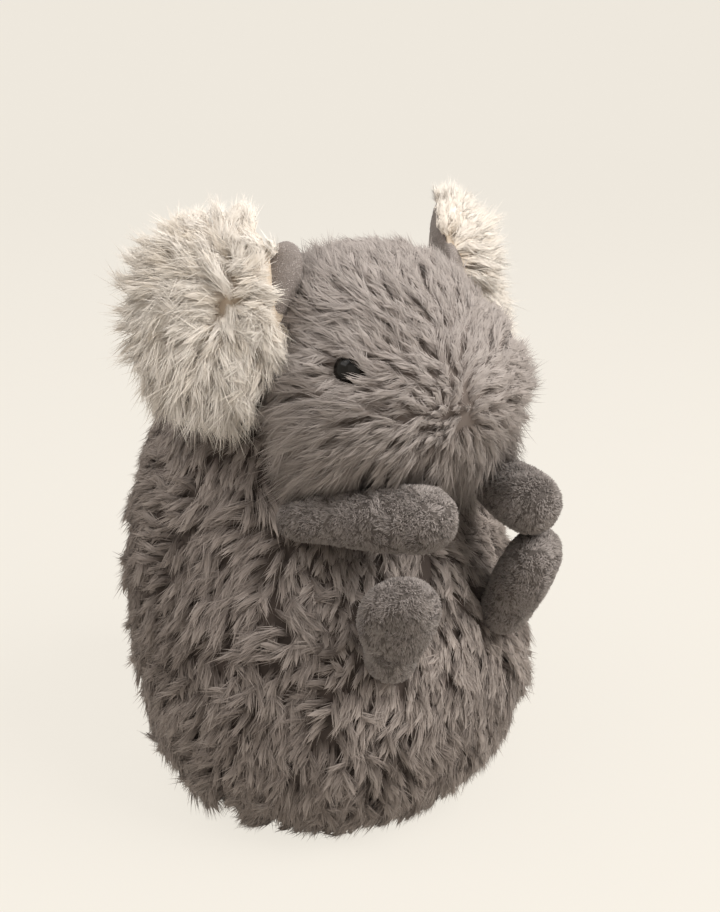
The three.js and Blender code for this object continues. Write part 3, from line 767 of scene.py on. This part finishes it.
# %% The stuffed body under the fur, with the pressed pile that it sits on
base_spots, base_normals = scatter(body_pad, count=60000, rng=fur_rng)
under = (base_spots[:, 2] < UNDERSIDE) & (base_normals[:, 2] < -0.6)
base_spots = base_spots[under] + np.array([0, 0, 1.4 * MM])
base_normals = np.tile(DOWN, (len(base_spots), 1))
base_flow = unit(lying(fur_rng.normal(0, 1, base_spots.shape), base_normals))
base_locks = Locks(fur_rng, base_spots, base_normals, base_flow, np.full(len(base_spots), 3.5 * MM),
                   lift=0.4, lay=0.0, droop=0.0)
base_pile = nap_parts(base_locks, fray=0.06, width=0.8 * MM, tone=0.4, spread=0.12, own=0.6)
for v in body_pad.data.vertices:
    if v.co.z < UNDERSIDE and v.normal.z < -0.5:
        v.co.z += 1.0 * MM
body_pad.data.update()
covered("body_cover", body_pad, [base_pile], grey_fur, "torso",
        ["base_panel", "body_filling", "pellet_bag"])

# %% [markdown]
# ## Head fur
# On the face the fur radiates from the tip of the muzzle: up over the forehead, back over the
# cheeks, and down below the chin, where the longer locks hang over the shoulders. Around the eyes
# it stands up, and what would cross them is trimmed, so that the black plastic shows.

# %% Where the head's locks stand
head_rng = np.random.default_rng(23)
SIDES = {"right": -1, "left": 1}
NOSE_DROP, NOSE_REACH = math.radians(16), 34
EYE_TURN, EYE_RISE = math.radians(52), math.radians(8)
NOSE = HEAD_AT + np.array([0, -math.cos(NOSE_DROP), -math.sin(NOSE_DROP)]) * NOSE_REACH * MM
EYE_DIRECTION = np.array([math.sin(EYE_TURN) * math.cos(EYE_RISE),
                          -math.cos(EYE_TURN) * math.cos(EYE_RISE), math.sin(EYE_RISE)])
EAR_ROOTS = {"ear_right_bend": 3.5 * MM, "ear_left_bend": 3.5 * MM}
EYE_CLEAR = 3.1 * MM
EYES = {}
for side in SIDES:
    eye_low, eye_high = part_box("eye_" + side)
    EYES[side] = np.array((eye_low + eye_high) / 2)
tufts, tuft_normals = planted(head_pad, count=24000, rng=head_rng, gap=1.35 * MM)
WIDEST, EGG_BELOW, EGG_ABOVE = 42, 50, 88
EGG_WIDE, EGG_DEEP, EGG_LEAN, EGG_TOP = 53.5, 50, 12.5, 130


def off_body(points, clearance):
    """True where a point is outside the body's egg by a clearance."""
    px, py, pz = points.T / MM
    power = np.where(pz < WIDEST, 2.4, 2.15)
    level = np.clip((pz - WIDEST) / np.where(pz < WIDEST, EGG_BELOW, EGG_ABOVE), -1, 1)
    girth = (1 - np.abs(level) ** power) ** (1 / power)
    depth = EGG_DEEP * (1 - 0.15 * ease(pz, 40, 100))
    lean = EGG_LEAN * ease(pz, 25, 100)
    spread = np.hypot(px / (girth * EGG_WIDE + clearance / MM),
                      (py - lean) / (girth * depth + clearance / MM))
    return (spread > 1) | (pz > EGG_TOP)


keep = off_body(tufts, 0.8 * MM) & off_limbs(tufts, EAR_ROOTS)
for eye_at in EYES.values():
    keep &= norm(tufts - eye_at, axis=1) > EYE_CLEAR
tufts, tuft_normals = tufts[keep], tuft_normals[keep]
print("head locks", len(tufts))


# %% How the head's locks lie
def nearness(ways, turn, drop, width):
    """How close ways from the head's middle are to one that is turned and dropped, from 0 to 1."""
    middle = np.array([math.sin(math.radians(turn)), -math.cos(math.radians(turn)), -drop])
    angle = np.arccos(np.clip(unit(ways) @ unit(middle), -1, 1))
    return np.exp(-(angle / width) ** 2)


from_nose = tufts - NOSE
away = norm(from_nose, axis=1) / MM
hx, hy, hz = (tufts - HEAD_AT).T / MM
head_flow = unit(lying(unit(from_nose), tuft_normals)
                 + lying(DOWN, tuft_normals) * (0.45 * ease(-hz, -8, 14) + 0.1)[:, None])
head_flow = turned(head_flow, tuft_normals, 0.34 * waves(tufts, 8 * MM, 31))
brow = ease(hz, -2, 10)
bunched, cluster = gathered(head_rng, tufts, tuft_normals, head_flow,
                            size=5 * MM, stir=0.28, pull=0.8)
head_flow = unit(bunched * (1 - 0.6 * brow)[:, None] + head_flow * (0.6 * brow)[:, None])
head_flow = turned(head_flow, tuft_normals, head_rng.normal(0, 0.2, len(tufts)))
low_cheek = ease(-hz, 0, 16)
at_nose = ease(-away, -13, -2)
plump = nearness(np.stack([np.abs(hx), hy, hz], axis=1), turn=55, drop=0.55, width=0.55)
crown_side = ease(-hx, 5, 18) * ease(hz, 8, 18)
far_jowl = nearness(np.stack([hx, hy, hz], axis=1), turn=52, drop=0.85, width=0.5)
clump = head_rng.normal(0, 1, cluster.max() + 1)[cluster] * (1.2 - 0.9 * brow)
moustache = ease(-from_nose[:, 2] / MM, -2, 6) * ease(-away, -24, -12)
hanging = ease(-hz, 12, 22)
head_length = (7.5 - 1.5 * at_nose + 3.0 * hanging + 0.8 * clump
               + 4.5 * ease(away, 26, 40) * ease(-hz, -6, 6) + 2.0 * ease(away, 6, 24)
               + 4.5 * low_cheek * ease(away, 14, 30) + 2.5 * plump + 6.0 * far_jowl
               + 3.0 * crown_side + 4.0 * moustache + head_rng.normal(0, 0.8, len(tufts))) * MM
far_crown = ease(hx, 4, 14) * ease(hz, 4, 12)
head_lift = (0.55 - 0.25 * far_crown + (0.12 + 0.1 * low_cheek) * clump * ease(away, 8, 20)
             + 0.05 * at_nose + 0.15 * low_cheek + 0.1 * plump + 0.7 * far_jowl + 0.45 * crown_side
             + 0.25 * moustache + head_rng.normal(0, 0.1, len(tufts)))
head_lay = 0.12 + 0.2 * at_nose + 0.5 * far_jowl
EYE_OPENING = 1.6 * MM
for eye_at in EYES.values():
    head_lift += 0.55 * np.exp(-(norm(tufts - eye_at, axis=1) / (6 * MM)) ** 2)
    to_eye = lying(eye_at + unit(eye_at - NOSE) * 1.2 * MM - tufts, tuft_normals)
    ahead_by = np.sum(to_eye * head_flow, axis=1)
    beside = norm(to_eye - head_flow * ahead_by[:, None], axis=1)
    chord = np.sqrt(np.maximum(EYE_OPENING ** 2 - beside ** 2, 0))
    crossing = (ahead_by > 0) & (beside < EYE_OPENING) & (ahead_by < 14 * MM)
    trimmed = np.maximum(ahead_by - chord + 0.9 * MM, 1.5 * MM)
    head_length = np.where(crossing, np.minimum(head_length, trimmed), head_length)
# Far from the nose the lower cheeks are toned darker: painted shade below the top-lit forehead, which also
# brings the head's lighter grey down to the body's.
head_tone = (0.5 - 0.35 * low_cheek * ease(away, 20, 38) + (0.05 + 0.05 * low_cheek) * clump
             + 0.06 * waves(tufts, 12 * MM, 33) + head_rng.normal(0, 0.07, len(tufts)))
print("head fur mm", head_length.min() / MM, head_length.max() / MM)

# %% Grow the head's fur
HEAD_FILL, GUSSET_HALF = 0.85, 10
HEAD_CUT = dict(count=46, width=0.26 * MM, tip=1.05, fray=0.09, span=0.42, own=0.35, round_by=0.4)
head_radius = (1.0 + 0.2 * low_cheek + head_rng.normal(0, 0.12, len(tufts))).clip(0.5, 1.4) * MM
head_droop = 0.12 + 0.25 * low_cheek + 0.3 * moustache + 1.0 * hanging
gusset = np.abs(hx) < GUSSET_HALF
chin = gusset & (hz < -9) & (hy < 0)
patches("head", HEAD_CUT, head_fur_painted_lit, head_rng,
        (tufts, tuft_normals, head_flow, head_length, head_lift, head_lay, head_droop, head_tone,
         head_radius), crimp=0.6 * MM, plan=(
            ("face_fur_right", ~gusset & (hx < 0), ["face_panel_right"]),
            ("face_fur_left", ~gusset & (hx > 0), ["face_panel_left"]),
            ("crown_fur", gusset & ~chin, ["head_gusset"]),
            ("chin_fur", chin, ["chin_panel"])))
covered("head_cover", head_pad, [], head_fur_painted_lit, "head", ["head_filling"])

# %% [markdown]
# ## Ears
# Each ear is a soft disc: cream fur in front, short grey pile behind. The cream fur springs from the
# hollow of the ear and runs out past the rim, so the outline of the ear is made of its tips. At the
# inner edge it leaves room for a fold, where the cloth of the back turns to the front.


# %% Ears
EAR_UP, EAR_OUT = np.array([-0.224951, 0, 0.974370]), np.array([0.626313, 0.766044, 0.144596])
EAR_CUT = dict(count=95, width=0.25 * MM, tip=1.1, fray=0.09, span=0.42, own=0.25, round_by=0.4)
FOLD_WIDTH = {"right": 4.6, "left": 2.0}


def ear_frame(side):
    """Root, outward, cream-facing and upward directions of an ear."""
    mirror = np.array([SIDES[side], 1, 1])
    up, out = EAR_UP * mirror, EAR_OUT * mirror
    return JOINT_AT["ear_" + side + "_bend"], out, np.cross(up, out) * -SIDES[side], up


for side, sign in SIDES.items():
    ear_rng = np.random.default_rng(41)
    root, out, face, up = ear_frame(side)
    pad = soft_form("ear_pad", ["ear_front_" + side], voxel=0.7 * MM, relax=4)
    points, normals = planted(pad, count=9000, rng=ear_rng, gap=1.5 * MM)
    local_out, local_up = (points - root) @ out / MM, (points - root) @ up / MM
    fold_width = 0.5 + FOLD_WIDTH[side] * ease(local_up, 6, 20)
    keep = (normals @ face > -0.25) & (local_out > fold_width)
    points, normals, local_up, by_fold = (
        values[keep] for values in (points, normals, local_up, ease(fold_width + 6 - local_out, 0, 6)))
    from_hollow = points - (root + out * 13 * MM + up * 8 * MM)
    reach = norm(from_hollow, axis=1) / MM
    flow = unit(lying(unit(from_hollow), normals) + lying(DOWN, normals) * 0.5
                + lying(out, normals) * (0.15 + 1.2 * by_fold)[:, None])
    flow, _ = gathered(ear_rng, points, normals, flow, size=5 * MM, stir=0.6, pull=0.3)
    flow = turned(flow, normals, ear_rng.normal(0, 0.45, len(points)) * (1 - 0.7 * by_fold))
    hang = ease(-local_up, -4, 8)
    # The left ear is the far one: its fur is shorter at the top and stands up.
    far = float(sign > 0)
    length = (14.0 - 0.5 * far - (3.0 + 3.0 * far) * ease(local_up, 14, 24) + 4.0 * hang
              + ear_rng.normal(0, 1.0, len(points))) * MM
    ear_locks = Locks(ear_rng, points, normals, flow, length,
                      lift=1.3 - 0.3 * ease(reach, 10, 19) * (1 - far), lay=0.05 + 0.9 * far,
                      droop=0.15 + 0.5 * hang, crimp=0.7 * MM)
    ear_locks.shade = unit(normals + 0.6 * face + 0.5 * up + np.array([0, -0.5, 0]))
    radius = (1.6 + ear_rng.normal(0, 0.2, len(points))).clip(0.9, 2.1) * MM
    parts = fur_parts(ear_locks, 0.5 + ear_rng.normal(0, 0.12, len(points)), radius, **EAR_CUT)
    covered("ear_fur_" + side, pad, parts, cream_fur, "ear_" + side,
            ["ear_front_" + side])

# %% [markdown]
# ## Short pile
# Paws, soles and the backs of the ears are cut from a pile only a millimetre high. In use it is
# crushed: patches lean one way and their neighbours another, which gives the mottled crackle. Here
# the skin is split into small ragged cells. All the spikes of a cell lean one way, and in the cracks
# between the cells they are short, and painted dark as shade in the cracks. The covers of the arms and
# the feet are blown up first with the cloth solver, as stuffing does.


# %% Short pile helpers
def cracks(points, form, rng, size):
    """How deep in a crack of the crushed pile each point is, from 0 to 1, and its patch's lean."""
    seeds, _ = planted(form, count=3000, rng=rng, gap=size)
    leans = rng.normal(0, 1, seeds.shape)
    bent = points + 0.8 * MM * np.stack([waves(points, 3 * MM, 700 + i) for i in range(3)], axis=1)
    edge, lean = np.empty(len(points)), np.empty(points.shape)
    for some, gap in gaps(bent, seeds):
        lean[some] = leans[np.argmin(gap, axis=1)]
        gap.partition(1, axis=1)
        edge[some] = gap[:, 1] - gap[:, 0]
    patch = 0.25 + 0.75 * ease(waves(points, 9 * MM, int(rng.integers(1000))), -0.5, 0.4)
    return (1 - ease(edge, 0.1 * MM, 0.8 * MM)) * patch, lean


NAP_SINK = 0.25 * MM
CELL = 3.2 * MM


def napped(name, form, body, nodes, rng, height, per_mm2=13, pale=0.0, crush=1.0, level=0.01,
           girth=0.55):
    """A piece made of a form and short dense pile that is crushed into a crackle."""
    places, _, triangles = skin_arrays(form)
    area = doubled_areas(places, triangles).sum() / 2 / MM ** 2
    points, normals = scatter(form, int(area * per_mm2), rng)
    split, lean = cracks(points, form, rng, CELL)
    split *= crush
    seed = int(rng.integers(1000))
    flow = unit(lying(0.6 * lean + DOWN * 0.7 + rng.normal(0, 0.35, points.shape), normals))
    length = (height * (1 - 0.8 * split) + rng.normal(0, 0.06, len(points)) * height) + NAP_SINK
    pile_locks = Locks(rng, points, normals, flow, length, lift=1.0, lay=0.7, droop=0.0, sink=NAP_SINK)
    # In the cracks the spikes are toned darker as well as short: painted shade in the cracks.
    tone = 0.53 + pale - 0.85 * split + 0.06 * waves(points, 6 * MM, seed + 9)
    strands = nap_parts(pile_locks, fray=0.10, width=girth * MM, tone=tone, spread=0.08, own=0.5,
                        lean=0.22 * lying(lean, normals))
    covered(name, form, [strands], grey_nap, body, nodes, level)


PRESSURE, LAST_FRAME = 240, 20


def stuffed(piece, slack, cap):
    """Blows a form up with the cloth solver, as stuffing does a cover that is cut a little large. The
    faces are a millimetre across, so it takes far more pressure than a cushion with larger ones."""
    before = skin_arrays(piece)[0]
    alone(piece)
    cloth = piece.modifiers.new("stuffing", "CLOTH")
    cloth.settings.use_pressure = True
    cloth.settings.uniform_pressure_force = PRESSURE
    cloth.settings.effector_weights.gravity = 0
    cloth.settings.quality = 4
    cloth.settings.shrink_min = -slack
    for step in range(1, LAST_FRAME + 1):
        scene.frame_set(step)
    bpy.ops.object.modifier_apply(modifier="stuffing")
    scene.frame_set(1)
    move = skin_arrays(piece)[0] - before
    move -= move.mean(axis=0)
    size = norm(move, axis=1, keepdims=True)
    moved = before + move * np.minimum(1, cap / np.maximum(size, 1e-9))
    piece.data.vertices.foreach_set("co", moved.astype(np.float32).ravel())
    piece.data.update()
    print(piece.name, "stuffed, moved mm", size.mean() / MM, size.max() / MM)
    return piece


FOLD_TALL, FOLD_THICK = {"right": 11, "left": 8}, 2.8


def ear_fold(side):
    """The rolled inner edge of an ear, where its back cloth turns to the front."""
    root, out, face, up = ear_frame(side)
    bpy.ops.mesh.primitive_uv_sphere_add(segments=32, ring_count=24, radius=1.0)
    fold = bpy.context.object
    tall = FOLD_TALL[side]
    middle = root + (out * 2.0 + face * 0.5 + up * (tall + 4)) * MM
    for v in fold.data.vertices:
        width = 4.0 + 2.0 * v.co.z
        local = out * v.co.x * width + face * v.co.y * FOLD_THICK + up * v.co.z * tall
        v.co = Vector(middle + local * MM)
    mode("EDIT")
    bpy.ops.mesh.select_all(action="SELECT")
    bpy.ops.mesh.normals_make_consistent(inside=False)
    mode("OBJECT")
    return fold


# %% Arms, feet and the backs of the ears
LIMB_FILL, LIMB_VOXEL, LIMB_PILE = 0.7, 0.9 * MM, 0.9 * MM
for side in SIDES:
    nap_rng = np.random.default_rng(61)
    arm_nodes = [kind + side for kind in ("arm_cover_", "arm_filling_")]
    arm = stuffed(soft_form("arm_mould", arm_nodes, LIMB_VOXEL, relax=5), slack=0.04, cap=0.35 * MM)
    napped("arm_" + side, arm, "arm_" + side, arm_nodes, nap_rng, LIMB_PILE)
    foot_nodes = [kind + side for kind in ("foot_cover_", "foot_sole_", "foot_filling_")]
    foot = stuffed(soft_form("foot_mould", foot_nodes, LIMB_VOXEL, relax=4), slack=0.012, cap=0.3 * MM)
    napped("foot_" + side, foot, "foot_" + side, foot_nodes, nap_rng, LIMB_PILE)
    back_nodes = ["ear_back_" + side]
    ear_back = soft_form("ear_back_mould", back_nodes, voxel=0.6 * MM, relax=3, extra=[ear_fold(side)])
    # The backs of the ears take the paws' pile made paler, on paler skin and with few cracks: painted
    # light, for the lit face of the fold.
    napped("ear_back_pile_" + side, ear_back, "ear_" + side, back_nodes, nap_rng, height=0.3 * MM,
           per_mm2=8, pale=0.35, crush=0.1, level=0.7, girth=0.45)

# %% [markdown]
# ## Tail
# The short tail behind is a stuffed stub in the body's fur, and its fur runs out along it.

# %% Tail
tail_rng = np.random.default_rng(71)
TAIL_CUT = dict(count=40, width=0.32 * MM, tip=0.85, fray=0.065)
TAIL_NODES = ["tail_cover", "tail_filling"]
tail_pad = soft_form("tail_mould", TAIL_NODES, voxel=1.0 * MM, relax=4)
TAIL_ALONG = np.array([0, 0.766044, 0.642788])
points, normals = planted(tail_pad, count=4000, rng=tail_rng, gap=1.95 * MM)
flow = unit(lying(TAIL_ALONG, normals) + lying(tail_rng.normal(0, 0.25, points.shape), normals))
length = (10 + tail_rng.normal(0, 1, len(points))) * MM
tail_locks = Locks(tail_rng, points, normals, flow, length, lift=0.7, lay=0.15, droop=0.25, crimp=0.2 * MM)
parts = fur_parts(tail_locks, 0.47 + tail_rng.normal(0, 0.12, len(points)), radius=1.1 * MM, **TAIL_CUT)
covered("tail_fur", tail_pad, parts, grey_fur, "tail", TAIL_NODES)

# %% [markdown]
# ## Eyes
# The eyes are glossy black domes on a shank that a washer holds behind the cloth. A sphere is
# flattened behind, its shank is pulled out of the back, and it is turned to look out of its socket.

# %% Eyes
EYE_RADIUS, EYE_FRONT, EYE_BEHIND = 3.8, 3.0, 0.8
SHANK_RADIUS, SHANK_STEP = 1.7 * MM, 1.15 * MM
for side, sign in SIDES.items():
    look = Vector((sign * EYE_DIRECTION[0], EYE_DIRECTION[1], EYE_DIRECTION[2]))
    front = max(v.co.dot(look) for v in frame["nodes"]["eye_" + side].data.vertices)
    crest = Vector(HEAD_AT) + look * (front - Vector(HEAD_AT).dot(look))
    bpy.ops.mesh.primitive_uv_sphere_add(segments=48, ring_count=32, radius=EYE_RADIUS * MM)
    eye = bpy.context.object
    eye.name = "eye_dome_" + side
    mode("EDIT")
    bpy.ops.mesh.select_all(action="DESELECT")
    mode("OBJECT")
    for v in eye.data.vertices:
        v.co.z *= EYE_FRONT / EYE_RADIUS if v.co.z > 0 else EYE_BEHIND / EYE_RADIUS
        v.select = v.co.z < 0 and v.co.xy.length < SHANK_RADIUS
    eye.data.update()
    mode("EDIT")
    bpy.ops.mesh.select_mode(type="VERT")
    for grow_by in (1.0, 0.8, 1.25, 0.8, 1.25, 0.8):
        bpy.ops.mesh.extrude_region_move(TRANSFORM_OT_translate={"value": (0, 0, -SHANK_STEP)})
        bpy.ops.transform.resize(value=(grow_by, grow_by, 1))
    mode("OBJECT")
    bpy.ops.object.shade_smooth()
    eye.matrix_world = look.to_track_quat("Z", "Y").to_matrix().to_4x4()
    eye.location = crest - look * EYE_FRONT * MM
    bpy.ops.object.transform_apply(location=True, rotation=True, scale=True)
    eye.data.materials.append(black_plastic)
    belongs(eye, "head", nodes=["eye_" + side])
    washer = frame["nodes"]["eye_washer_" + side]
    washer.data.materials.clear()
    washer.data.materials.append(white_plastic)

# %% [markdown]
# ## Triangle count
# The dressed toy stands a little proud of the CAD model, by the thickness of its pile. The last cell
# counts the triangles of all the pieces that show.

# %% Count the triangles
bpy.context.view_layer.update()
total = sum(len(p.vertices) - 2 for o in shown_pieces() for p in o.data.polygons)
print("triangles in all", total)
